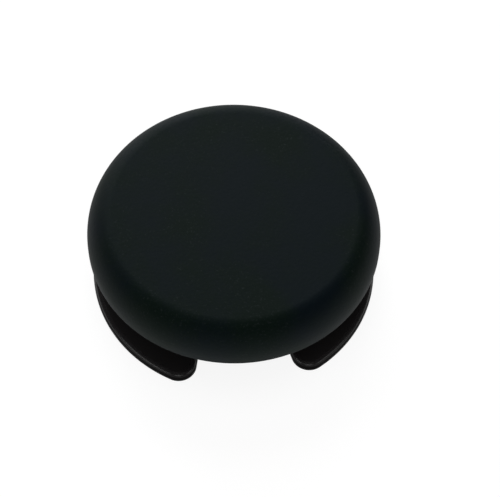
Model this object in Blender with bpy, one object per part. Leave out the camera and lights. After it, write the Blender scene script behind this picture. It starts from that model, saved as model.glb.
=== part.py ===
"""Thumbstick cap for the slide pad of a handheld game console: one black plastic moulding.

A thumb disc with a rounded shoulder stands on a short neck. The neck ends in a thin flange, which a
notch at the front and one at the back cut into two wings. The neck is cored from below, and a boss in
the core holds the blind socket that presses onto the slider's post.

The origin is on the cap's axis, in the plane of the flange's underside. +Z points up through the thumb
disc, and the front notch faces -Y.
"""

import math

import bmesh
import bpy

MM = 0.001

# The thumb disc, the broad round head that the thumb rests on.
DISC_RADIUS = 9.0 * MM
SHOULDER_WIDTH = 1.6 * MM
SHOULDER_HEIGHT = 2.2 * MM
RIM_HEIGHT = 0.5 * MM
RIM_EDGE_RADIUS = 0.1 * MM

# The neck, and the height of the groove that it leaves between disc and flange.
NECK_RADIUS = 5.4 * MM
GROOVE_HEIGHT = 3.25 * MM
NECK_HEAD_FILLET = 0.45 * MM
NECK_FOOT_FILLET = 0.3 * MM

# The flange: a hub ring round the neck's foot and a wing on each side.
WING_REACH = 3.5 * MM  # from the neck's wall out to the rim
FLANGE_THICKNESS = 0.6 * MM
FLANGE_EDGE_RADIUS = 0.15 * MM
HUB_LEDGE = 0.25 * MM  # how far the hub ring stands out past the foot fillet
NOTCH_WIDTH = 6.8 * MM  # at the flange's rim, before the corners are rounded
NOTCH_TAPER = math.radians(13.0)  # lean of each notch side, towards the middle as it goes inwards
WING_CORNER_RADIUS = 1.1 * MM
NOTCH_ROOT_RADIUS = 0.4 * MM

# The round core that hollows the neck from below.
TOP_WALL = 1.35 * MM
NECK_WALL = 1.1 * MM
CORE_DRAFT = math.radians(1.0)
CORE_END_FILLET = 0.3 * MM
CORE_MOUTH_CHAMFER = 0.2 * MM

# The boss in the core, and the ribs that tie it to the neck's wall.
BOSS_WALL = 0.5 * MM  # round the socket's corners
BOSS_SETBACK = 0.35 * MM  # the boss stops this far above the flange's underside
BOSS_EDGE_RADIUS = 0.12 * MM
RIB_THICKNESS = 0.7 * MM
RIB_HEIGHT = 2.9 * MM
RIB_ANGLES = [math.radians(a) for a in (45.0, 135.0, 225.0, 315.0)]

# The blind socket in the boss, with four crush ribs that bite on the slider's post.
SOCKET_LENGTH = 3.8 * MM
SOCKET_WIDTH = 2.6 * MM
SOCKET_ROOF = 2.2 * MM  # plastic left between the socket's end and the disc's top
SOCKET_CORNER_RADIUS = 0.3 * MM
SOCKET_CHAMFER = 0.25 * MM
CRUSH_RIB_RADIUS = 0.14 * MM
CRUSH_RIB_INSET = 0.95 * MM  # from the socket's end walls
CRUSH_RIB_SETBACK = 0.9 * MM

# The faint round marks that the ejector pins leave under the wings.
PIN_MARK_RADIUS = 0.6 * MM
PIN_MARK_DEPTH = 0.06 * MM
PIN_MARK_INSET = 1.6 * MM  # from the flange's rim
PIN_MARK_ANGLES = [math.radians(a) for a in (-38.0, 38.0, 142.0, 218.0)]

# Facets, for a full turn or for a quarter of a small round.
TURN_STEPS = 96
BOSS_STEPS = 48
RIM_STEPS = 20  # from the front of a wing to its middle
PIN_MARK_STEPS = 24
CRUSH_RIB_STEPS = 10
SHOULDER_STEPS = 10
FILLET_STEPS = 4
EDGE_STEPS = 2

SMOOTH_UNDER = math.radians(30.0)  # facets that meet at less than this are shaded as one round face
BEVEL_FROM = math.radians(60.0)  # the flange's edges turn by more than this, its facets by less

OVERSHOOT = 0.5 * MM  # how far a cutter runs past the face that it enters by
BURIED = 0.02 * MM  # how far a fillet's end dips into the face that it dies in
SAME_POINT = 0.0001 * MM

FLANGE_TOP = FLANGE_THICKNESS
DISC_UNDERSIDE = FLANGE_TOP + GROOVE_HEIGHT
SHOULDER_FOOT = DISC_UNDERSIDE + RIM_HEIGHT
DISC_TOP = SHOULDER_FOOT + SHOULDER_HEIGHT
CORE_END = DISC_TOP - TOP_WALL
ROOT_HEIGHT = DISC_TOP - TOP_WALL / 2  # where the boss and the ribs end, inside the top wall
SOCKET_END = DISC_TOP - SOCKET_ROOF

FLANGE_RADIUS = NECK_RADIUS + WING_REACH
HUB_RADIUS = NECK_RADIUS + NECK_FOOT_FILLET + HUB_LEDGE
NOTCH_DEPTH = FLANGE_RADIUS - HUB_RADIUS
CORE_RADIUS = NECK_RADIUS - NECK_WALL
BOSS_RADIUS = math.hypot(SOCKET_LENGTH, SOCKET_WIDTH) / 2 + BOSS_WALL
PIN_MARK_ORBIT = FLANGE_RADIUS - PIN_MARK_INSET

# A round corner takes at most this share of the wall that it rounds.
CORNER_SHARE = 0.6
ROOT_SHARE = 0.3
EDGE_SHARE = 0.4

PLASTIC_COLOUR = (0.0097, 0.0125, 0.0123, 1.0)
PLASTIC_ROUGHNESS = 0.55


def clear_scene():
    for obj in list(bpy.data.objects):
        bpy.data.objects.remove(obj, do_unlink=True)


def arc(centre, radii, start, end, steps):
    """Points on an ellipse's arc. centre and radii are pairs, start and end are in degrees."""
    points = []
    for i in range(steps + 1):
        angle = math.radians(start + (end - start) * i / steps)
        points.append(
            (centre[0] + radii[0] * math.cos(angle), centre[1] + radii[1] * math.sin(angle))
        )
    return points


def link(name, bm):
    """Turns a bmesh into an object with its normals out and its round faces shaded smooth."""
    bmesh.ops.recalc_face_normals(bm, faces=bm.faces)
    mesh = bpy.data.meshes.new(name)
    bm.to_mesh(mesh)
    bm.free()
    mesh.shade_smooth()
    mesh.set_sharp_from_angle(angle=SMOOTH_UNDER)
    obj = bpy.data.objects.new(name, mesh)
    bpy.context.scene.collection.objects.link(obj)
    return obj


def turned(name, profile, steps=TURN_STEPS):
    """A solid of revolution about Z. profile holds (radius, height) and starts and ends on the axis."""
    bm = bmesh.new()
    verts = [bm.verts.new((radius, 0.0, height)) for radius, height in profile]
    edges = [bm.edges.new(pair) for pair in zip(verts, verts[1:])]
    bmesh.ops.spin(
        bm,
        geom=verts + edges,
        cent=(0.0, 0.0, 0.0),
        axis=(0.0, 0.0, 1.0),
        angle=math.tau,
        steps=steps,
        use_merge=True,
        use_duplicate=False,
    )
    bmesh.ops.remove_doubles(bm, verts=bm.verts, dist=SAME_POINT)
    return link(name, bm)


def lofted(name, *solids):
    """One object of solids, each through closed outlines with equal point counts.

    A solid is a list of sections, from the lowest up, and a section is (outline, height).
    """
    bm = bmesh.new()
    for sections in solids:
        rings = [[bm.verts.new((x, y, height)) for x, y in outline] for outline, height in sections]
        for lower, upper in zip(rings, rings[1:]):
            for i in range(len(lower)):
                j = (i + 1) % len(lower)
                bm.faces.new((lower[i], lower[j], upper[j], upper[i]))
        bm.faces.new(rings[0])
        bm.faces.new(rings[-1])
    return link(name, bm)


def helper(obj):
    """Marks a solid that only shapes another one."""
    obj.hide_render = True
    obj.display_type = "WIRE"
    return obj


def combine(target, tool, operation, solver="EXACT"):
    """Joins tool to target or cuts it out of target, with a Boolean that stays on target."""
    modifier = target.modifiers.new(f"{operation.lower()} {tool.name}", "BOOLEAN")
    modifier.operation = operation
    modifier.solver = solver
    modifier.object = helper(tool)


def rounded_rectangle(length, width, radius, grow=0.0):
    """Outline of a rectangle with round corners, centred on the axis and grown outwards on every side."""
    points = []
    for quarter, (sx, sy) in enumerate(((1, 1), (-1, 1), (-1, -1), (1, -1))):
        centre = (sx * (length / 2 - radius), sy * (width / 2 - radius))
        reach = radius + grow
        start = 90.0 * quarter
        points += arc(centre, (reach, reach), start, start + 90.0, FILLET_STEPS)
    return points


def wing_end():
    """Outline points of one side of the front notch, on +X, from the hub ring out to the flange's rim.

    The notch side is a straight line that leans towards the middle. A root fillet joins it to the hub
    ring, and a round corner joins it to the rim. Each of those circles touches the line and the ring or
    the rim, which places its centre.
    """
    inwards = (-math.sin(NOTCH_TAPER), math.cos(NOTCH_TAPER))
    to_wing = (math.cos(NOTCH_TAPER), math.sin(NOTCH_TAPER))
    start = (NOTCH_WIDTH / 2, -FLANGE_RADIUS)
    corner_radius = min(WING_CORNER_RADIUS, CORNER_SHARE * NOTCH_DEPTH)
    root_radius = min(NOTCH_ROOT_RADIUS, ROOT_SHARE * NOTCH_DEPTH)

    def touching_centre(side_offset, centre_distance):
        """Where a line beside the notch side crosses a circle about the axis, on the front half."""
        px = start[0] + to_wing[0] * side_offset
        py = start[1] + to_wing[1] * side_offset
        along = px * inwards[0] + py * inwards[1]
        beyond = px * px + py * py - centre_distance**2
        travel = -along - math.sqrt(along * along - beyond)
        return px + inwards[0] * travel, py + inwards[1] * travel

    root = touching_centre(-root_radius, HUB_RADIUS + root_radius)
    corner = touching_centre(corner_radius, FLANGE_RADIUS - corner_radius)
    side_angle = math.degrees(NOTCH_TAPER)
    root_angle = math.degrees(math.atan2(-root[1], -root[0]))
    rim_angle = math.degrees(math.atan2(corner[1], corner[0]))
    points = arc(root, (root_radius,) * 2, root_angle, side_angle, FILLET_STEPS)
    points += arc(corner, (corner_radius,) * 2, side_angle - 180.0, rim_angle, 2 * FILLET_STEPS)
    return points


def flange_outline():
    """Outline of the flange seen from above: two wings, and the hub ring at the foot of each notch."""
    end = wing_end()
    hub_start = math.degrees(math.atan2(end[0][1], end[0][0]))
    rim_start = math.degrees(math.atan2(end[-1][1], end[-1][0]))
    quarter = arc((0.0, 0.0), (HUB_RADIUS,) * 2, -90.0, hub_start, FILLET_STEPS)[:-1]
    quarter += end
    quarter += arc((0.0, 0.0), (FLANGE_RADIUS,) * 2, rim_start, 0.0, RIM_STEPS)[1:]
    right = quarter + [(x, -y) for x, y in reversed(quarter[1:-1])]
    return right + [(-x, -y) for x, y in right]


def make_flange():
    outline = flange_outline()
    flange = lofted("flange", [(outline, 0.0), (outline, FLANGE_TOP)])
    edge = flange.modifiers.new("rounded edges", "BEVEL")
    edge.width = min(FLANGE_EDGE_RADIUS, EDGE_SHARE * FLANGE_THICKNESS)
    edge.segments = EDGE_STEPS
    edge.limit_method = "ANGLE"
    edge.angle_limit = BEVEL_FROM
    return flange


def make_disc_and_neck():
    profile = [(0.0, DISC_TOP)]
    profile += arc(
        (DISC_RADIUS - SHOULDER_WIDTH, SHOULDER_FOOT),
        (SHOULDER_WIDTH, SHOULDER_HEIGHT),
        90.0,
        0.0,
        SHOULDER_STEPS,
    )
    profile += arc(
        (DISC_RADIUS - RIM_EDGE_RADIUS, DISC_UNDERSIDE + RIM_EDGE_RADIUS),
        (RIM_EDGE_RADIUS,) * 2,
        0.0,
        -90.0,
        EDGE_STEPS,
    )
    profile += arc(
        (NECK_RADIUS + NECK_HEAD_FILLET, DISC_UNDERSIDE - NECK_HEAD_FILLET),
        (NECK_HEAD_FILLET,) * 2,
        90.0,
        180.0,
        FILLET_STEPS,
    )
    profile += arc(
        (NECK_RADIUS + NECK_FOOT_FILLET, FLANGE_TOP - BURIED + NECK_FOOT_FILLET),
        (NECK_FOOT_FILLET,) * 2,
        180.0,
        270.0,
        FILLET_STEPS,
    )
    profile.append((NECK_RADIUS + NECK_FOOT_FILLET, FLANGE_TOP / 2))
    profile.append((0.0, FLANGE_TOP / 2))
    return turned("thumbstick_cap", profile)


def make_core():
    """The drafted round hollow in the neck, chamfered at its mouth and filleted at its end."""
    flare = CORE_MOUTH_CHAMFER + OVERSHOOT
    end_radius = CORE_RADIUS - (CORE_END - CORE_MOUTH_CHAMFER) * math.tan(CORE_DRAFT)
    profile = [(0.0, -OVERSHOOT), (CORE_RADIUS + flare, -OVERSHOOT)]
    profile.append((CORE_RADIUS, CORE_MOUTH_CHAMFER))
    profile += arc(
        (end_radius - CORE_END_FILLET, CORE_END - CORE_END_FILLET),
        (CORE_END_FILLET,) * 2,
        0.0,
        90.0,
        FILLET_STEPS,
    )
    profile.append((0.0, CORE_END))
    return turned("core", profile)


def make_boss():
    profile = [(0.0, BOSS_SETBACK)]
    profile += arc(
        (BOSS_RADIUS - BOSS_EDGE_RADIUS, BOSS_SETBACK + BOSS_EDGE_RADIUS),
        (BOSS_EDGE_RADIUS,) * 2,
        -90.0,
        0.0,
        EDGE_STEPS,
    )
    root_radius = BOSS_RADIUS + (ROOT_HEIGHT - BOSS_SETBACK) * math.tan(CORE_DRAFT)
    profile += [(root_radius, ROOT_HEIGHT), (0.0, ROOT_HEIGHT)]
    return turned("boss", profile, BOSS_STEPS)


def rib_outline(angle):
    """A bar from inside the boss to the middle of the neck's wall."""
    start = BOSS_RADIUS - BOSS_WALL / 2
    end = CORE_RADIUS + NECK_WALL / 2
    half = RIB_THICKNESS / 2
    cos, sin = math.cos(angle), math.sin(angle)
    corners = [(start, -half), (end, -half), (end, half), (start, half)]
    return [(x * cos - y * sin, x * sin + y * cos) for x, y in corners]


def make_ribs():
    outlines = [rib_outline(angle) for angle in RIB_ANGLES]
    bars = [[(outline, CORE_END - RIB_HEIGHT), (outline, ROOT_HEIGHT)] for outline in outlines]
    return lofted("ribs", *bars)


def make_socket():
    """The post's hole: a rectangle with round corners and a flared mouth."""
    size = (SOCKET_LENGTH, SOCKET_WIDTH, SOCKET_CORNER_RADIUS)
    mouth = rounded_rectangle(*size, grow=SOCKET_CHAMFER + OVERSHOOT)
    throat = rounded_rectangle(*size)
    sections = [(mouth, BOSS_SETBACK - OVERSHOOT), (throat, BOSS_SETBACK + SOCKET_CHAMFER)]
    sections.append((throat, SOCKET_END))
    return lofted("socket", sections)


def make_crush_ribs():
    """Slim upright bars, half sunk in the socket's long walls, from below its mouth to past its end."""
    bottom = BOSS_SETBACK + CRUSH_RIB_SETBACK
    top = SOCKET_END + CRUSH_RIB_RADIUS
    bars = []
    for side_x in (-1, 1):
        for side_y in (-1, 1):
            centre = (side_x * (SOCKET_LENGTH / 2 - CRUSH_RIB_INSET), side_y * SOCKET_WIDTH / 2)
            outline = arc(centre, (CRUSH_RIB_RADIUS,) * 2, 0.0, 360.0, CRUSH_RIB_STEPS)[:-1]
            bars.append([(outline, bottom), (outline, top)])
    return lofted("crush_ribs", *bars)


def make_pin_marks():
    marks = []
    for angle in PIN_MARK_ANGLES:
        centre = (PIN_MARK_ORBIT * math.cos(angle), PIN_MARK_ORBIT * math.sin(angle))
        outline = arc(centre, (PIN_MARK_RADIUS,) * 2, 0.0, 360.0, PIN_MARK_STEPS)[:-1]
        marks.append([(outline, -OVERSHOOT), (outline, PIN_MARK_DEPTH)])
    return lofted("pin_marks", *marks)


def plastic():
    material = bpy.data.materials.new("black_plastic")
    material.use_nodes = True
    material.diffuse_color = PLASTIC_COLOUR
    shader = material.node_tree.nodes["Principled BSDF"]
    shader.inputs["Base Color"].default_value = PLASTIC_COLOUR
    shader.inputs["Roughness"].default_value = PLASTIC_ROUGHNESS
    shader.inputs["Metallic"].default_value = 0.0
    return material


def main():
    clear_scene()
    cap = make_disc_and_neck()
    cap.data.materials.append(plastic())
    combine(cap, make_flange(), "UNION")
    # The steps below run into the facets of round walls, where EXACT leaves inner faces at some sizes.
    combine(cap, make_core(), "DIFFERENCE", "MANIFOLD")
    combine(cap, make_boss(), "UNION", "MANIFOLD")
    combine(cap, make_ribs(), "UNION", "MANIFOLD")
    combine(cap, make_socket(), "DIFFERENCE", "MANIFOLD")
    combine(cap, make_crush_ribs(), "UNION", "MANIFOLD")
    combine(cap, make_pin_marks(), "DIFFERENCE", "MANIFOLD")


main()
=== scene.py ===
# %% [markdown]
# # A thumbstick cap, dressed for its photograph
#
# The part is the black cap of a slide pad, the flat thumbstick of a handheld game console. It is one
# plastic moulding: a thumb disc on a short neck, over a thin flange with two wings. The solid model
# gives its sizes. This script gives it a finer skin of the same form, its finish, a floor, soft light
# and the camera of the photograph.
#
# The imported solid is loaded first, because every later step has to agree with it.

# %% Load the solid model
import math

import bmesh
import bpy
from mathutils import Matrix, Vector


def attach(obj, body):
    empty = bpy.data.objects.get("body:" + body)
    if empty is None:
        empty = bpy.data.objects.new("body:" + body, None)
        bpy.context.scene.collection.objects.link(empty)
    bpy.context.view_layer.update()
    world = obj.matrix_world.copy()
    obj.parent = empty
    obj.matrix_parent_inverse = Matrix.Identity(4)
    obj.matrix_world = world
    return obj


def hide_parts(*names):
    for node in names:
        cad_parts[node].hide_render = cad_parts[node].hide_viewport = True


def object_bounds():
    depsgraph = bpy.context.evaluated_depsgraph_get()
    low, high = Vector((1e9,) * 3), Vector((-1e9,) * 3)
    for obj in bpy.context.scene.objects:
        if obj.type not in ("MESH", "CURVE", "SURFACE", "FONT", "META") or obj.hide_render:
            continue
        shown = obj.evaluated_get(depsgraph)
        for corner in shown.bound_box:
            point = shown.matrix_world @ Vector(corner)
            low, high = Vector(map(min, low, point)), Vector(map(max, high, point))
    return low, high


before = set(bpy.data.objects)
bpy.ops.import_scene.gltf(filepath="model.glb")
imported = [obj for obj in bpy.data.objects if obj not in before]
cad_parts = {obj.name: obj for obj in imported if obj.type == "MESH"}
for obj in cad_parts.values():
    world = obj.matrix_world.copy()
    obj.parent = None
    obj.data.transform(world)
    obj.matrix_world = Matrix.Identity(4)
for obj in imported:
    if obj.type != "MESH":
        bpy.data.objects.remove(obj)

MM = 0.001
CAP = "thumbstick_cap"

cad_low, cad_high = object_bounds()
solid_size = [round(side / MM, 2) for side in cad_high - cad_low]
print(len(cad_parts), "solid was loaded, and it measures", solid_size, "mm.")

# %% [markdown]
# ## The camera
#
# A photograph fixes more than an angle: how much nearer the front edge looks than the back one also says
# something about the distance. The outline of the cap gave the height and side of the view, its roll and
# its scale. It fixes the distance only weakly, so a tenth of a metre was chosen, which fits well. The
# camera stands a little left of the front notch and looks down steeply.
#
# The cap lies left of the picture's middle. Shifting the lens would put it there. Here a small turn of
# the whole camera does the same, and the lens stays plain.

# %% Place the camera
PHOTO_WIDTH = 500
SENSOR = 36.0
FOCAL_PIXELS = 1608.3
EYE_DISTANCE = 100.0 * MM
EYE_ELEVATION = 57.52
EYE_AZIMUTH = -5.78
EYE_ROLL = math.radians(-0.43)
LOOKED_AT = Vector((0.0, 0.0, 3.0 * MM))
CAP_LEFT_OF_MIDDLE = 16.06  # pixels
CAP_ABOVE_MIDDLE = 5.89  # pixels
NEAREST_SEEN = 1.0 * MM
FARTHEST_SEEN = 10.0


def direction(azimuth, elevation):
    """Away from the cap, in degrees. Azimuth 0 is its front, and -90 its left side."""
    a, e = math.radians(azimuth), math.radians(elevation)
    return Vector((math.sin(a) * math.cos(e), -math.cos(a) * math.cos(e), math.sin(e)))


def make_camera():
    data = bpy.data.cameras.new("photo_camera")
    data.sensor_width = SENSOR
    data.lens = FOCAL_PIXELS / PHOTO_WIDTH * SENSOR
    data.clip_start = NEAREST_SEEN
    data.clip_end = FARTHEST_SEEN
    camera = bpy.data.objects.new("photo_camera", data)
    bpy.context.scene.collection.objects.link(camera)

    # The camera faces the cap, rolls, and then turns until the cap stands where the photograph has it.
    backward = direction(EYE_AZIMUTH, EYE_ELEVATION)
    rightward = direction(EYE_AZIMUTH + 90.0, 0.0)
    facing = Matrix((rightward, backward.cross(rightward), backward)).transposed()
    roll = Matrix.Rotation(-EYE_ROLL, 3, "Z")
    straight_ahead = Vector((0.0, 0.0, -1.0))
    cap_in_view = Vector((-CAP_LEFT_OF_MIDDLE, CAP_ABOVE_MIDDLE, -FOCAL_PIXELS))
    aside = cap_in_view.rotation_difference(straight_ahead).to_matrix()
    camera.location = LOOKED_AT + backward * EYE_DISTANCE
    camera.rotation_euler = (facing @ roll @ aside).to_euler()
    bpy.context.scene.camera = camera
    return camera


camera = make_camera()
print("The lens is", round(camera.data.lens, 1), "mm on a sensor", SENSOR, "mm wide.")

# %% [markdown]
# ## Plain soft light
#
# Black plastic shows little of its own colour: what the eye reads as its shape is the room mirrored in
# it. So each lamp has a place in the picture. The softboxes behind the cap are mirrored by the flat top
# and give it an even sheen. The shoulder in front mirrors the dark room between the lamps, which is why
# a dark band follows the top's edge. Three narrow strips stand low at the front and the sides, for the
# thin bright line along the wings, and a fourth one low behind the cap brightens the disc's far edge.
#
# The overhead panel and the front fill are left out of reflections. They only give plain light, and they
# reach the wings under the disc. The lamps are set so that colours look about as they are written. A single
# lamp would be simpler, but on black plastic it shows as one hot spot with nothing beside it.

# %% Light the set
WORLD_GREY = 0.02
LAMP_DISTANCE = 0.50


def make_lamp(name, azimuth, elevation, size, brightness, mirrored=True, distance=LAMP_DISTANCE):
    """A rectangular area lamp, aimed at the cap. Its power grows with its area."""
    data = bpy.data.lights.new(name, "AREA")
    data.shape = "RECTANGLE"
    data.size, data.size_y = size
    data.energy = brightness * math.pi * size[0] * size[1]
    lamp = bpy.data.objects.new(name, data)
    bpy.context.scene.collection.objects.link(lamp)
    away = direction(azimuth, elevation)
    lamp.location = LOOKED_AT + away * distance
    lamp.rotation_euler = away.to_track_quat("Z", "Y").to_euler()
    lamp.visible_glossy = mirrored
    return lamp


lamps = [
    make_lamp("overhead_panel", 0.0, 88.0, (0.40, 0.40), 2.8, mirrored=False, distance=0.60),
    make_lamp("front_fill", -6.0, 50.0, (0.50, 0.30), 1.2, mirrored=False),
    make_lamp("rear_softbox", 180.0, 46.0, (0.30, 0.20), 5.7),
    make_lamp("low_rear_softbox", 200.0, 22.0, (0.20, 0.20), 4.6),
    make_lamp("rear_horizon_strip", 180.0, 8.0, (0.40, 0.06), 5.0),
    make_lamp("left_strip", -65.0, 22.0, (0.30, 0.08), 2.1),
    make_lamp("front_strip", -8.0, 30.0, (0.30, 0.08), 2.3),
    make_lamp("right_strip", 55.0, 22.0, (0.30, 0.08), 1.2),
]

world = bpy.data.worlds.new("studio")
world.use_nodes = True
world.node_tree.nodes["Background"].inputs["Color"].default_value = (*[WORLD_GREY] * 3, 1.0)
bpy.context.scene.world = world
bpy.context.scene.view_settings.view_transform = "Standard"
print(len(lamps), "lamps give", round(sum(lamp.data.energy for lamp in lamps), 2), "W in all.")

# %% [markdown]
# ## Writing shaders as sums
#
# A material's nodes are easier to read as a formula than as a wiring plan. A small class wraps one
# output socket and overloads the arithmetic signs, so that `0.6 + 0.1 * cloud` adds its Math nodes by
# itself. Every other node comes from one method, which takes the node's type, its settings and what its
# sockets hold. Colours go through a Mix node, because a Math node would turn them grey.

# %% Define the shader helpers


class Graph:
    """A material's node tree."""

    def __init__(self, name):
        self.material = bpy.data.materials.new(name)
        self.material.use_nodes = True
        self.tree = self.material.node_tree
        self.tree.nodes.clear()

    def node(self, kind, settings=None, inputs=None, output=0):
        """Adds a node and returns one of its outputs. Settings come first, since they can change sockets."""
        made = self.tree.nodes.new("ShaderNode" + kind)
        for key, value in (settings or {}).items():
            setattr(made, key, value)
        for key, value in (inputs or {}).items():
            if isinstance(value, Wire):
                self.tree.links.new(value.socket, made.inputs[key])
            else:
                made.inputs[key].default_value = value
        return Wire(self, made.outputs[output]) if made.outputs else made

    def math(self, operation, *values, clamp=False):
        return self.node("Math", {"operation": operation, "use_clamp": clamp}, dict(enumerate(values)))

    def mix(self, factor, first, second):
        """One colour where the factor is 0, and another where it is 1."""
        # A Mix node has sockets for every data type. Those for colours are inputs 6 and 7 and output 2.
        colours = [colour if isinstance(colour, Wire) else (*colour, 1.0) for colour in (first, second)]
        return self.node("Mix", {"data_type": "RGBA"}, {0: factor, 6: colours[0], 7: colours[1]}, 2)

    def noise(self, place, size, detail):
        """Noise whose patches are about as wide as the size."""
        return self.node("TexNoise", inputs={"Vector": place, "Scale": 1.0 / size, "Detail": detail})

    def part(self, vector, axis):
        return self.node("SeparateXYZ", inputs={"Vector": vector}, output=axis)

    def finish(self, surface):
        self.node("OutputMaterial", inputs={"Surface": surface})
        return self.material


class Wire:
    """One output socket, with arithmetic."""

    def __init__(self, graph, socket):
        self.graph = graph
        self.socket = socket

    def __add__(self, other):
        return self.graph.math("ADD", self, other)

    def __sub__(self, other):
        return self.graph.math("SUBTRACT", self, other)

    def __mul__(self, other):
        return self.graph.math("MULTIPLY", self, other)

    def __truediv__(self, other):
        return self.graph.math("DIVIDE", self, other)

    def __radd__(self, other):
        return self.graph.math("ADD", other, self)

    def __rsub__(self, other):
        return self.graph.math("SUBTRACT", other, self)

    def __rmul__(self, other):
        return self.graph.math("MULTIPLY", other, self)

    def __abs__(self):
        return self.graph.math("ABSOLUTE", self)

    def clamped(self):
        return self.graph.math("ADD", self, 0.0, clamp=True)

    def ramp(self, zero_at, one_at):
        """A mask that rises from 0 at one value to 1 at another."""
        return ((self - zero_at) / (one_at - zero_at)).clamped()


print("The shader helpers are", Graph.__name__, "and", Wire.__name__ + ".")

# %% [markdown]
# ## The cap's sizes
#
# The overall size is read from the solid. The other sizes are the mould's own, and they repeat what the
# solid was made from, so that the finer skin lies where the solid does. Two things are new. The steps of
# the round parts are many and small, because this mesh is looked at from close by. And the flange's two
# edges have rounds of their own, where the solid has 0.15 mm on both. They were found by comparing the
# brightness across the wings' edge with the photograph. There the upper edge draws a bright line about as
# wide as a round of 0.42 mm does, and the wings reach out as if their lower edge were almost sharp.

# %% Name the sizes of the disc, the neck and the flange
DISC_RADIUS = (cad_high.x - cad_low.x) / 2
DISC_TOP = cad_high.z
SHOULDER_WIDTH = 1.6 * MM
SHOULDER_HEIGHT = 2.2 * MM
RIM_HEIGHT = 0.5 * MM
RIM_EDGE_RADIUS = 0.1 * MM
SHOULDER_FOOT = DISC_TOP - SHOULDER_HEIGHT
DISC_UNDERSIDE = SHOULDER_FOOT - RIM_HEIGHT

NECK_RADIUS = 5.4 * MM
NECK_HEAD_FILLET = 0.45 * MM
NECK_FOOT_FILLET = 0.3 * MM

WING_REACH = 3.5 * MM  # from the neck's wall out to the rim
FLANGE_RADIUS = NECK_RADIUS + WING_REACH
FLANGE_THICKNESS = 0.6 * MM
FLANGE_TOP_ROUND = 0.42 * MM
FLANGE_FOOT_ROUND = 0.04 * MM
HUB_LEDGE = 0.25 * MM  # how far the hub ring stands out past the foot fillet
HUB_RADIUS = NECK_RADIUS + NECK_FOOT_FILLET + HUB_LEDGE
NOTCH_WIDTH = 6.8 * MM
NOTCH_TAPER = 13.0  # degrees
WING_CORNER_RADIUS = 1.1 * MM
NOTCH_ROOT_RADIUS = 0.4 * MM
print("Disc", round(2 * DISC_RADIUS / MM, 2), "mm across, cap", round(DISC_TOP / MM, 2), "mm high.")

# %% Name the sizes of the underside
TOP_WALL = 1.35 * MM
NECK_WALL = 1.1 * MM
CORE_END = DISC_TOP - TOP_WALL
CORE_RADIUS = NECK_RADIUS - NECK_WALL
DRAFT = math.tan(math.radians(1.0))
CORE_END_FILLET = 0.3 * MM
CORE_MOUTH_CHAMFER = 0.2 * MM
ROOT_HEIGHT = DISC_TOP - TOP_WALL / 2  # where boss and ribs end, inside the top wall

SOCKET_LENGTH = 3.8 * MM
SOCKET_WIDTH = 2.6 * MM
SOCKET_ROOF = 2.2 * MM  # plastic left between the socket's end and the disc's top
SOCKET_END = DISC_TOP - SOCKET_ROOF
SOCKET_CORNER_RADIUS = 0.3 * MM
SOCKET_CHAMFER = 0.25 * MM
CRUSH_RIB_RADIUS = 0.14 * MM
CRUSH_RIB_INSET = 0.95 * MM
CRUSH_RIB_SETBACK = 0.9 * MM

BOSS_WALL = 0.5 * MM
BOSS_RADIUS = math.hypot(SOCKET_LENGTH, SOCKET_WIDTH) / 2 + BOSS_WALL
BOSS_SETBACK = 0.35 * MM
BOSS_EDGE_RADIUS = 0.12 * MM
RIB_THICKNESS = 0.7 * MM
RIB_HEIGHT = 2.9 * MM
RIB_ANGLES = (45.0, 135.0, 225.0, 315.0)

PIN_MARK_RADIUS = 0.6 * MM
PIN_MARK_DEPTH = 0.06 * MM
PIN_MARK_INSET = 1.6 * MM  # from the flange's rim
PIN_MARK_ORBIT = FLANGE_RADIUS - PIN_MARK_INSET
PIN_MARK_ANGLES = (-38.0, 38.0, 142.0, 218.0)
print("The boss is", round(2 * BOSS_RADIUS / MM, 2), "mm wide in a core of", round(2 * CORE_RADIUS / MM, 2))

# %% Choose how finely round shapes are stepped
TURN_STEPS = 288
SHOULDER_STEPS = 36
FILLET_STEPS = 10
CORNER_STEPS = 30
BAR_STEPS = 40
EDGE_STEPS = 6
RIM_STEPS = 72
SAME_POINT = 0.0001 * MM
OVERSHOOT = 0.5 * MM  # how far a cutter runs past the face that it enters by
BURIED = 0.02 * MM  # how far a fillet's end dips into the face that it dies in
HAIR = 0.01 * MM  # tells faces apart that lie at nearly one height
print("A facet of the rim is", round(math.tau * DISC_RADIUS / TURN_STEPS / MM, 3), "mm long.")

# %% [markdown]
# ## Two kinds of solid
#
# A moulded part is mostly turned forms and flat plates with a shaped outline. A turned form is a profile
# spun round the axis, and a plate is an outline lifted from one height to another. Both are closed
# solids, so they can be joined and cut by Boolean modifiers, as tool steel joins and cuts the plastic.
# Rounded outlines come from one function that walks along an arc.

# %% Define the solids


def arc(centre, radii, start, end, steps):
    """Points on an ellipse's arc, from one angle to another in degrees."""
    points = []
    for i in range(steps + 1):
        angle = math.radians(start + (end - start) * i / steps)
        x = centre[0] + radii[0] * math.cos(angle)
        points.append((x, centre[1] + radii[1] * math.sin(angle)))
    return points


def round_arc(centre, radius, start, end, steps=FILLET_STEPS):
    return arc(centre, (radius, radius), start, end, steps)


def add_object(name, bm):
    bmesh.ops.recalc_face_normals(bm, faces=bm.faces)
    mesh = bpy.data.meshes.new(name)
    bm.to_mesh(mesh)
    bm.free()
    obj = bpy.data.objects.new(name, mesh)
    bpy.context.scene.collection.objects.link(obj)
    return obj


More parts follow.
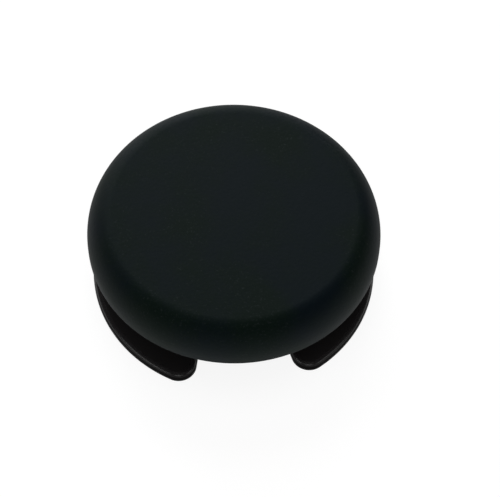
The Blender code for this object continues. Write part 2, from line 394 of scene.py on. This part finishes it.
def turned(name, profile, steps=TURN_STEPS):
    """Spins a profile of (radius, height) points, which starts and ends on the axis."""
    bm = bmesh.new()
    verts = [bm.verts.new((radius, 0.0, height)) for radius, height in profile]
    edges = [bm.edges.new(pair) for pair in zip(verts, verts[1:])]
    bmesh.ops.spin(
        bm,
        geom=verts + edges,
        cent=(0.0, 0.0, 0.0),
        axis=(0.0, 0.0, 1.0),
        angle=math.tau,
        steps=steps,
        use_merge=True,
        use_duplicate=False,
    )
    bmesh.ops.remove_doubles(bm, verts=bm.verts, dist=SAME_POINT)
    return add_object(name, bm)


def lofted(name, *solids):
    """Solids through closed outlines, each a list of (outline, height) from the lowest up."""
    bm = bmesh.new()
    for sections in solids:
        rings = [[bm.verts.new((x, y, height)) for x, y in outline] for outline, height in sections]
        for lower, upper in zip(rings, rings[1:]):
            for i in range(len(lower)):
                j = (i + 1) % len(lower)
                bm.faces.new((lower[i], lower[j], upper[j], upper[i]))
        bm.faces.new(rings[0])
        bm.faces.new(rings[-1])
    return add_object(name, bm)


def combine(target, tool, operation):
    """Joins a tool to the target, or cuts it out, with a Boolean modifier."""
    tool.hide_render = True
    modifier = target.modifiers.new(tool.name, "BOOLEAN")
    modifier.operation = operation
    modifier.solver = "MANIFOLD"
    modifier.object = tool


print("The shoulder's quarter of an ellipse takes", SHOULDER_STEPS, "steps.")

# %% [markdown]
# ## The thumb disc and the neck
#
# The thumb rests on the disc and pushes it sideways, so the disc is flat on top and its shoulder is
# rounded well down. Seen from the side the shoulder is a quarter of an ellipse, taller than it is wide.
# Below it a short upright rim ends in an edge that is almost sharp. It could be a squashed sphere or a
# bevelled cylinder, but one spun profile gives each of these stretches its own size, and the fillets
# into and out of the neck come with it.

# %% Turn the disc and the neck


def make_disc_and_neck():
    wall = NECK_RADIUS
    head, foot = NECK_HEAD_FILLET, NECK_FOOT_FILLET
    edge = RIM_EDGE_RADIUS
    profile = [(0.0, DISC_TOP)]
    profile += arc(
        (DISC_RADIUS - SHOULDER_WIDTH, SHOULDER_FOOT),
        (SHOULDER_WIDTH, SHOULDER_HEIGHT),
        90.0,
        0.0,
        SHOULDER_STEPS,
    )
    profile += round_arc((DISC_RADIUS - edge, DISC_UNDERSIDE + edge), edge, 0.0, -90.0)
    profile += round_arc((wall + head, DISC_UNDERSIDE - head), head, 90.0, 180.0)
    profile += round_arc((wall + foot, FLANGE_THICKNESS - BURIED + foot), foot, 180.0, 270.0)
    profile += [(wall + foot, FLANGE_THICKNESS / 2), (0.0, FLANGE_THICKNESS / 2)]
    return turned("disc_and_neck", profile)


cap = make_disc_and_neck()
print("The disc and neck have", len(cap.data.polygons), "faces before the cuts.")

# %% [markdown]
# ## The flange with its two wings
#
# The flange slides under the console's case and keeps the cap from lifting out. A notch at the front and
# one at the back leave two wings. The notch sides lean, each wing ends in a round corner, and a small
# fillet eases the inner corner, where a thin flange would crack first. A cutter could make the notches,
# but then the round corners would need bevels on picked edges. Here the outline is drawn instead: each
# round is the circle that touches the notch side and the rim, or the notch side and the hub.
#
# The edge is rounded all the way round, top and bottom. The upper round is what catches the light as a
# thin bright line along the wings. A bevel modifier has one width, so each edge carries a weight: the
# whole width for the upper edges, and a share of it for the lower ones.

# %% Draw the flange


def wing_end():
    """One side of the front notch, on +X, from the hub out to the rim."""
    taper = math.radians(NOTCH_TAPER)
    inwards = Vector((-math.sin(taper), math.cos(taper)))
    to_wing = Vector((math.cos(taper), math.sin(taper)))
    start = Vector((NOTCH_WIDTH / 2, -FLANGE_RADIUS))

    def touching_centre(side_offset, centre_distance):
        """Where a line beside the notch side crosses a circle about the axis, on the front half."""
        point = start + to_wing * side_offset
        along = point.dot(inwards)
        beyond = point.length_squared - centre_distance**2
        return point + inwards * (-along - math.sqrt(along**2 - beyond))

    root = touching_centre(-NOTCH_ROOT_RADIUS, HUB_RADIUS + NOTCH_ROOT_RADIUS)
    corner = touching_centre(WING_CORNER_RADIUS, FLANGE_RADIUS - WING_CORNER_RADIUS)
    root_angle = math.degrees(math.atan2(-root.y, -root.x))
    rim_angle = math.degrees(math.atan2(corner.y, corner.x))
    points = round_arc(root, NOTCH_ROOT_RADIUS, root_angle, NOTCH_TAPER)
    start_angle = NOTCH_TAPER - 180.0
    return points + round_arc(corner, WING_CORNER_RADIUS, start_angle, rim_angle, CORNER_STEPS)


def flange_outline():
    end = wing_end()
    hub_end = math.degrees(math.atan2(end[0][1], end[0][0]))
    rim_start = math.degrees(math.atan2(end[-1][1], end[-1][0]))
    quarter = round_arc((0.0, 0.0), HUB_RADIUS, -90.0, hub_end, CORNER_STEPS)[:-1]
    quarter += end
    quarter += round_arc((0.0, 0.0), FLANGE_RADIUS, rim_start, 0.0, RIM_STEPS)[1:]
    right = quarter + [(x, -y) for x, y in reversed(quarter[1:-1])]
    return right + [(-x, -y) for x, y in right]


def make_flange():
    outline = flange_outline()
    flange = lofted("flange", [(outline, 0.0), (outline, FLANGE_THICKNESS)])
    mesh = flange.data
    weights = mesh.attributes.new("bevel_weight_edge", "FLOAT", "EDGE")
    for edge in mesh.edges:
        heights = [mesh.vertices[i].co.z for i in edge.vertices]
        if min(heights) > FLANGE_THICKNESS / 2:
            weights.data[edge.index].value = 1.0
        elif max(heights) < FLANGE_THICKNESS / 2:
            weights.data[edge.index].value = FLANGE_FOOT_ROUND / FLANGE_TOP_ROUND
    rounds = flange.modifiers.new("rounded edges", "BEVEL")
    rounds.width = FLANGE_TOP_ROUND
    rounds.segments = EDGE_STEPS
    rounds.limit_method = "WEIGHT"
    return flange


flange = make_flange()
combine(cap, flange, "UNION")
print("The flange's outline has", len(flange.data.vertices) // 2, "points.")

# %% [markdown]
# ## The hollow underside
#
# Thick plastic sinks and warps as it cools, so a mould keeps its walls even: the neck is cored from
# below. In the core stands a boss, tied to the wall by four ribs, and in the boss is the blind socket
# that presses onto the slider's post. Four slim crush ribs in the socket bite on the post, so that the
# hole itself can be a little too wide. Each of these is a solid of its own, joined or cut in the order in
# which the metal of the mould would form them.

# %% Core the neck and stand the boss in it


def make_core():
    flare = CORE_MOUTH_CHAMFER + OVERSHOOT
    end_radius = CORE_RADIUS - (CORE_END - CORE_MOUTH_CHAMFER) * DRAFT
    fillet = CORE_END_FILLET
    profile = [(0.0, -OVERSHOOT), (CORE_RADIUS + flare, -OVERSHOOT)]
    profile += [(CORE_RADIUS, CORE_MOUTH_CHAMFER)]
    profile += round_arc((end_radius - fillet, CORE_END - fillet), fillet, 0.0, 90.0)
    profile += [(0.0, CORE_END)]
    return turned("core", profile)


def make_boss():
    edge = BOSS_EDGE_RADIUS
    profile = [(0.0, BOSS_SETBACK)]
    profile += round_arc((BOSS_RADIUS - edge, BOSS_SETBACK + edge), edge, -90.0, 0.0)
    root_radius = BOSS_RADIUS + (ROOT_HEIGHT - BOSS_SETBACK) * DRAFT
    profile += [(root_radius, ROOT_HEIGHT), (0.0, ROOT_HEIGHT)]
    return turned("boss", profile)


def make_ribs():
    """Four bars from inside the boss to the middle of the neck's wall."""
    start = BOSS_RADIUS - BOSS_WALL / 2
    end = (CORE_RADIUS + NECK_RADIUS) / 2
    half = RIB_THICKNESS / 2
    bars = []
    for angle in map(math.radians, RIB_ANGLES):
        out = Vector((math.cos(angle), math.sin(angle)))
        side = Vector((-out.y, out.x)) * half
        outline = [out * start - side, out * end - side, out * end + side, out * start + side]
        bars.append([(outline, CORE_END - RIB_HEIGHT), (outline, ROOT_HEIGHT)])
    return lofted("ribs", *bars)


combine(cap, make_core(), "DIFFERENCE")
combine(cap, make_boss(), "UNION")
combine(cap, make_ribs(), "UNION")
print("The core is", round(2 * CORE_RADIUS / MM, 2), "mm wide.")

# %% Sink the socket and add its crush ribs


def rounded_rectangle(grow=0.0):
    """The socket's outline, grown outwards on every side."""
    radius = SOCKET_CORNER_RADIUS
    points = []
    for quarter, (sx, sy) in enumerate(((1, 1), (-1, 1), (-1, -1), (1, -1))):
        centre = (sx * (SOCKET_LENGTH / 2 - radius), sy * (SOCKET_WIDTH / 2 - radius))
        points += round_arc(centre, radius + grow, 90.0 * quarter, 90.0 * (quarter + 1))
    return points


def make_socket():
    mouth = rounded_rectangle(SOCKET_CHAMFER + OVERSHOOT)
    throat = rounded_rectangle()
    sections = [(mouth, BOSS_SETBACK - OVERSHOOT), (throat, BOSS_SETBACK + SOCKET_CHAMFER)]
    return lofted("socket", sections + [(throat, SOCKET_END)])


def make_columns(name, centres, radius, bottom, top):
    """Upright round bars."""
    bars = []
    for centre in centres:
        outline = round_arc(centre, radius, 0.0, 360.0, BAR_STEPS)[:-1]
        bars.append([(outline, bottom), (outline, top)])
    return lofted(name, *bars)


reach = SOCKET_LENGTH / 2 - CRUSH_RIB_INSET
crush_places = [(sx * reach, sy * SOCKET_WIDTH / 2) for sx in (-1, 1) for sy in (-1, 1)]
crush_foot = BOSS_SETBACK + CRUSH_RIB_SETBACK
crush_ribs = make_columns(
    "crush_ribs", crush_places, CRUSH_RIB_RADIUS, crush_foot, SOCKET_END + CRUSH_RIB_RADIUS
)
combine(cap, make_socket(), "DIFFERENCE")
combine(cap, crush_ribs, "UNION")
print("The socket is", round((SOCKET_END - BOSS_SETBACK) / MM, 2), "mm deep.")

# %% [markdown]
# ## The marks of the ejector pins
#
# Steel pins push the cooled part out of the mould, and each leaves a faint round print. They are hidden
# under the wings, where the flange is flat and strong enough to be pushed.

# %% Print the pin marks
pin_places = []
for angle in map(math.radians, PIN_MARK_ANGLES):
    pin_places.append((PIN_MARK_ORBIT * math.cos(angle), PIN_MARK_ORBIT * math.sin(angle)))
pin_marks = make_columns("pin_marks", pin_places, PIN_MARK_RADIUS, -OVERSHOOT, PIN_MARK_DEPTH)
combine(cap, pin_marks, "DIFFERENCE")
print(len(pin_places), "pin marks,", round(PIN_MARK_DEPTH / MM, 2), "mm deep.")

# %% [markdown]
# ## One mesh with clean shading
#
# The stack of modifiers is worth keeping while the shape is still being found. Now it is turned into one
# mesh, so that each face can be given its finish, and the tools are removed. Smooth shading would smear
# the flat faces into the rounds beside them. Marking the sharp edges and weighting each corner's normal
# by the area of its faces keeps the flats flat and the rounds round.

# %% Make one mesh
SHARP_FROM = math.radians(30.0)


def settle(obj):
    """Applies the modifiers and removes the tools."""
    depsgraph = bpy.context.evaluated_depsgraph_get()
    mesh = bpy.data.meshes.new_from_object(obj.evaluated_get(depsgraph))
    tools = [modifier.object for modifier in obj.modifiers]
    obj.modifiers.clear()
    obj.data = mesh
    for tool in tools:
        bpy.data.objects.remove(tool, do_unlink=True)
    mesh.shade_smooth()
    mesh.set_sharp_from_angle(angle=SHARP_FROM)
    weighted = obj.modifiers.new("weighted normals", "WEIGHTED_NORMAL")
    weighted.keep_sharp = True


settle(cap)
cap.name = "cap_skin"
print("The skin has", len(cap.data.polygons), "faces.")

# %% [markdown]
# ## The grained finish of the disc
#
# The mould's cavity for the disc was etched, so the plastic there is dull, with a grain much finer than a
# millimetre. In the photograph it is also faintly mottled: the black leans to blue in some places and to
# green in others, in clouds a few millimetres wide. Pale specks in the clouds are glints of the grain, and
# here they are painted into the colour as painted highlights. A picture of plastic could be wrapped round
# the cap, but noise read from the object's own coordinates needs no unwrapping and has its true size
# everywhere.
#
# Three noises do it. Clouds and grain pick the hue, the painted glints show only inside the clouds, and the
# grain also lifts the surface a little. The sheen is weak and rough, as on etched plastic, and a little
# short of red, as the top is in the photograph.

# %% Grain the disc
GRAIN_SIZE = 0.2 * MM
GRAIN_DEPTH = 0.012 * MM
GLINT_SIZE = 0.12 * MM
CLOUD_SIZE = 4.0 * MM
BLUISH_BLACK = (0.0006, 0.0022, 0.0040)
GREENISH_BLACK = (0.0007, 0.0032, 0.0018)
# The pale speck colour below is a painted highlight: glints of the grain put into the base colour.
PAINTED_GLINT = (0.0110, 0.0140, 0.0140)
DISC_SHEEN = 0.16
SHEEN_TINT = (0.78, 1.0, 0.98, 1.0)
BLUE_TO_GREEN = (0.505, 0.755)  # noise levels between which each mask rises
PLAIN_TO_GLINT = (0.62, 0.787)
CLEAR_TO_CLOUDY = (0.4, 0.6)


def grained_plastic():
    graph = Graph("grained_black_plastic")
    place = graph.node("TexCoord", output="Object")
    grain = graph.noise(place, GRAIN_SIZE, 2.0)
    glint_noise = graph.noise(place, GLINT_SIZE, 1.0)
    cloud = graph.noise(place, CLOUD_SIZE, 2.0)
    hue = (cloud + 0.25 * grain).ramp(*BLUE_TO_GREEN)
    # The pale specks are painted highlights, standing in for glints of the grain.
    painted_glints = glint_noise.ramp(*PLAIN_TO_GLINT) * cloud.ramp(*CLEAR_TO_CLOUDY)
    colour = graph.mix(hue, BLUISH_BLACK, GREENISH_BLACK)
    bump = graph.node("Bump", inputs={"Strength": 1.0, "Distance": GRAIN_DEPTH, "Height": grain})
    shader = graph.node(
        "BsdfPrincipled",
        inputs={
            "Base Color": graph.mix(0.8 * painted_glints, colour, PAINTED_GLINT),
            "Roughness": 0.66 + 0.06 * cloud,
            "Specular IOR Level": DISC_SHEEN,
            "Specular Tint": SHEEN_TINT,
            "Normal": bump,
        },
    )
    return graph.finish(shader)


cap.data.materials.clear()
cap.data.materials.append(grained_plastic())
print("The grain is", round(GRAIN_SIZE / MM, 2), "mm wide, the clouds", round(CLOUD_SIZE / MM, 1), "mm.")

# %% [markdown]
# ## The smooth finish of neck and wings
#
# The steel round the neck and the wings was only ground and polished, since they have to slide. The
# plastic is smoother there, its black is neutral, and the melt leaves faint flow bands in it. The groove
# under the disc can only come out of a mould with two slides, and where slides meet they leave a
# hair-thin line. The photograph doesn't reach the two flanks where it would lie, so it is a guess.
#
# The sheen is set far weaker than real plastic's. A stronger one hardly changed the wings' flat tops, but
# it greyed their upright sides, most likely because those mirror the white floor. In the photograph they
# are nearly black.
#
# On the wings the photograph shows two more things. The rounded edge is a bright line, so it has a glossy
# coat, as plastic has that rubbing polished. The upright side under it is darker, and that darkness is
# painted shade in the colour of the faces that look sideways. The mesh could be split there into more
# finishes, but two soft masks are simpler. They are made from how far a point faces up, and they hold only
# outside the neck and no higher than the flange.

# %% Polish the neck and the wings
FLOW_SIZE = 1.8 * MM
FLOW_STRETCH = 0.25
FINE_SIZE = 0.2 * MM
RELIEF_DEPTH = 0.003 * MM
PARTING_HALF_WIDTH = 0.04 * MM
PARTING_HEIGHT = 0.02 * MM
NEUTRAL_BLACK = (0.0112, 0.0104, 0.0105)
FLOW_BLACK = (0.0145, 0.0134, 0.0136)
# The darkest black is painted shade, for the flange's upright sides.
PAINTED_SIDE_SHADE = (0.0026, 0.0023, 0.0023)
WING_SHEEN = 0.01
COAT_ROUGHNESS = 0.25
SLOPE_TO_SHADED_SIDE = (0.625, 0.0)  # how far a face looks up where each mask is 0 and where it is 1
FLAT_TO_ROUND = (0.99, 0.957)
SIDE_TO_ROUND = (0.42, 0.67)


def smooth_plastic():
    graph = Graph("smooth_black_plastic")
    place = graph.node("TexCoord", output="Object")
    stretched = graph.node("Mapping", inputs={"Vector": place, "Scale": (1.0, FLOW_STRETCH, 1.0)})
    flow = graph.noise(stretched, FLOW_SIZE, 4.0)
    fine = graph.noise(place, FINE_SIZE, 3.0)

    # Where a point lies, and how far it faces up.
    x, y, height = (graph.part(place, axis) for axis in "XYZ")
    from_axis = graph.math("SQRT", x * x + y * y)
    outside = graph.math("GREATER_THAN", from_axis, CORE_RADIUS + NECK_WALL / 2)
    on_flange = outside * graph.math("LESS_THAN", height, FLANGE_THICKNESS + HAIR)
    above_foot = outside * graph.math("GREATER_THAN", height, FLANGE_THICKNESS / 2)
    facing_up = graph.part(graph.node("TexCoord", output="Normal"), "Z")

    # The first mask paints shade: it darkens the colour of the flange's upright sides.
    upright_painted_shade = abs(facing_up).ramp(*SLOPE_TO_SHADED_SIDE) * on_flange
    rounded = facing_up.ramp(*FLAT_TO_ROUND) * facing_up.ramp(*SIDE_TO_ROUND) * on_flange
    parting = abs(y).ramp(PARTING_HALF_WIDTH, 0.0) * above_foot
    relief = 0.7 * fine + PARTING_HEIGHT / RELIEF_DEPTH * parting
    bump = graph.node("Bump", inputs={"Strength": 0.5, "Distance": RELIEF_DEPTH, "Height": relief})
    shader = graph.node(
        "BsdfPrincipled",
        inputs={
            "Base Color": graph.mix(upright_painted_shade, graph.mix(flow, NEUTRAL_BLACK, FLOW_BLACK), PAINTED_SIDE_SHADE),
            "Roughness": 0.26 + 0.08 * flow + 0.05 * fine,
            "Specular IOR Level": WING_SHEEN,
            "Coat Weight": rounded,
            "Coat Roughness": COAT_ROUGHNESS,
            "Normal": bump,
        },
    )
    return graph.finish(shader)


cap.data.materials.append(smooth_plastic())
print("The flow bands are", round(FLOW_SIZE / FLOW_STRETCH / MM, 1), "mm long.")

# %% [markdown]
# ## Which face has which finish
#
# The mould's surface changes at an edge: the etching ends at the disc's lower edge, and all that lies
# below it or in the hollow is smooth. A painted mask would blur that border. Each face is wholly one or
# the other, so the place of its middle decides.

# %% Give each face its finish
GRAINED, SMOOTH = 0, 1


def finish_of(face):
    on_disc = face.center.z > DISC_UNDERSIDE + HAIR
    in_hollow = face.center.xy.length < NECK_RADIUS and face.center.z < CORE_END + HAIR
    return GRAINED if on_disc and not in_hollow else SMOOTH


for face in cap.data.polygons:
    face.material_index = finish_of(face)
smooth_faces = sum(face.material_index == SMOOTH for face in cap.data.polygons)
print(smooth_faces, "faces are smooth, and", len(cap.data.polygons) - smooth_faces, "grained.")

# %% [markdown]
# ## The floor
#
# The photograph's ground is pure white and has no shadow. A diffuse floor under plain light would look
# light grey, and more light would wash out the cap. So the floor answers rays in two ways. Light that
# bounces meets a plain white diffuse surface. Rays from the camera, and rays that the cap mirrors or
# lets through, meet a surface that glows by itself. A little real light is added to the glow, so that
# the cap keeps a faint shadow and doesn't float.
#
# The floor lies a hair below the flange, because two faces at one height would flicker.

# %% Lay the floor
FLOOR_HALF = 1.5  # metres
FLOOR_GAP = 0.01 * MM
PLAIN_WHITE = 0.8
GLOW = 0.88
REAL_LIGHT = 0.15


def white_floor():
    graph = Graph("white_floor")
    kinds = ("Is Camera Ray", "Is Glossy Ray", "Is Transmission Ray")
    camera_ray, glossy_ray, passed_ray = (graph.node("LightPath", output=kind) for kind in kinds)
    seen = (camera_ray + glossy_ray + passed_ray).clamped()
    plain = graph.node("BsdfDiffuse", inputs={"Color": (*[PLAIN_WHITE] * 3, 1.0)})
    glow = graph.node("Emission", inputs={"Color": (1.0, 1.0, 1.0, 1.0), "Strength": GLOW})
    shaded = graph.node("BsdfDiffuse", inputs={"Color": (*[REAL_LIGHT] * 3, 1.0)})
    lit = graph.node("AddShader", inputs={0: glow, 1: shaded})
    return graph.finish(graph.node("MixShader", inputs={0: seen, 1: plain, 2: lit}))


bm = bmesh.new()
around = ((-1, -1), (1, -1), (1, 1), (-1, 1))
bm.faces.new([bm.verts.new((x * FLOOR_HALF, y * FLOOR_HALF, cad_low.z - FLOOR_GAP)) for x, y in around])
floor = add_object("floor", bm)
floor.data.materials.append(white_floor())
print("The floor lies at", round((cad_low.z - FLOOR_GAP) / MM, 3), "mm.")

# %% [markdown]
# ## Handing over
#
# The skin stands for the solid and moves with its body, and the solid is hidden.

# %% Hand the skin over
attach(cap, "root")
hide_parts(CAP)
